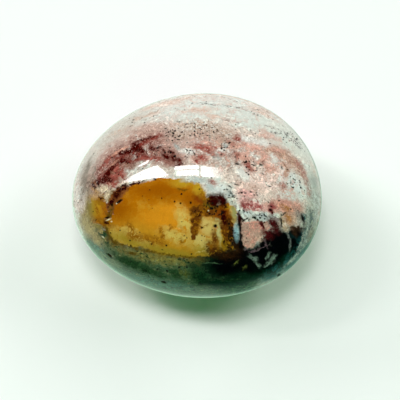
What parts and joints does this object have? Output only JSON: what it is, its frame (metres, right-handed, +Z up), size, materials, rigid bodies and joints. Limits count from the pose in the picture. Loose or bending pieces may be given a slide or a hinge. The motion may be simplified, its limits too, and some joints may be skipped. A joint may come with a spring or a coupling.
{
  "type": "ocean jasper palm stone",
  "caption": "Polished oval pebble of ocean jasper that fills the palm, with soft shoulders and a small flat spot to rest on.",
  "frame": {"origin": "on the resting face, under the middle of the stone seen from above", "axes": "+X along the stone's length, +Y across its width towards the far side of the picture, +Z up out of the surface that it rests on"},
  "size_m": [0.065, 0.0584, 0.036],
  "materials": {
    "polished_jasper": "tumbled and polished to a wet gloss, amber, pink, grey-green and near-black with fine dark specks"
  },
  "bodies": {
    "root": {"palm_stone": "polished_jasper"}
  },
  "joints": []
}
